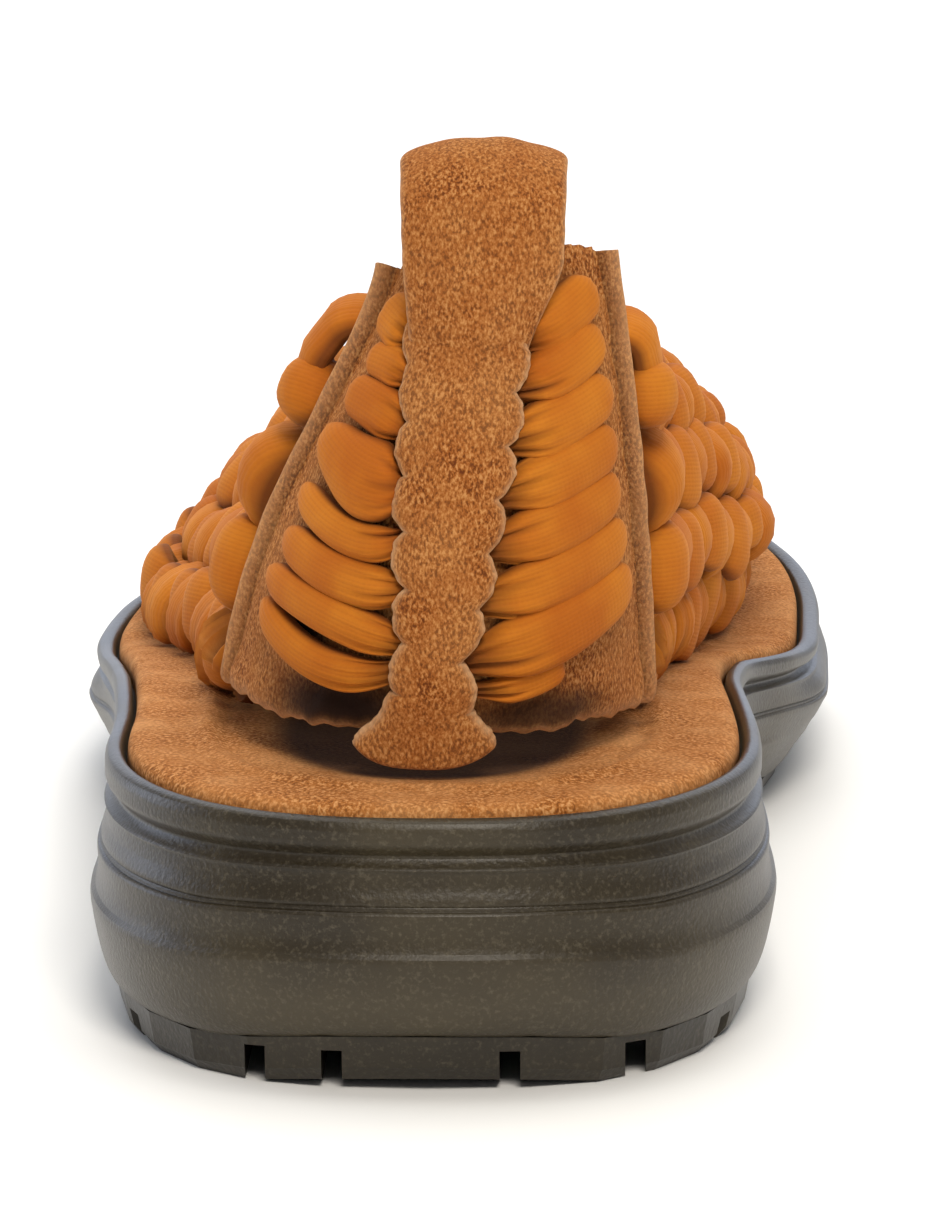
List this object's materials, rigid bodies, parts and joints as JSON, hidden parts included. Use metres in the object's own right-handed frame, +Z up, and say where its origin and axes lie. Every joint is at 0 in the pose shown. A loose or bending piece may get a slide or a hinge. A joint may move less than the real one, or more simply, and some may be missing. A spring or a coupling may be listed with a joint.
{
  "type": "woven slip-on sandal, left shoe",
  "caption": "Left slip-on sandal: woven padded tape upper, suede heel panel with scalloped strip and pull loop, thick moulded sole.",
  "frame": {"origin": "on the floor under the middle of the sole's outline", "axes": "+Y from heel to toe, +X to the medial side, +Z up"},
  "size_m": [0.1065, 0.29, 0.1078],
  "materials": {
    "outsole_rubber": "matte",
    "midsole_foam": "matte",
    "suede": "napped",
    "footbed_suede": "napped",
    "stretch_tape": "knitted"
  },
  "bodies": {
    "root": {"outsole": "outsole_rubber", "midsole": "midsole_foam", "footbed": "footbed_suede", "upper": "stretch_tape", "heel_panel": "suede", "heel_strip": "suede", "heel_tape_lateral_1": "stretch_tape", "heel_tape_lateral_2": "stretch_tape", "heel_tape_lateral_3": "stretch_tape", "heel_tape_lateral_4": "stretch_tape", "heel_tape_lateral_5": "stretch_tape", "heel_tape_lateral_6": "stretch_tape", "heel_tape_lateral_7": "stretch_tape", "heel_tape_medial_1": "stretch_tape", "heel_tape_medial_2": "stretch_tape", "heel_tape_medial_3": "stretch_tape", "heel_tape_medial_4": "stretch_tape", "heel_tape_medial_5": "stretch_tape", "heel_tape_medial_6": "stretch_tape", "heel_tape_medial_7": "stretch_tape", "pull_loop": "suede"}
  },
  "joints": []
}
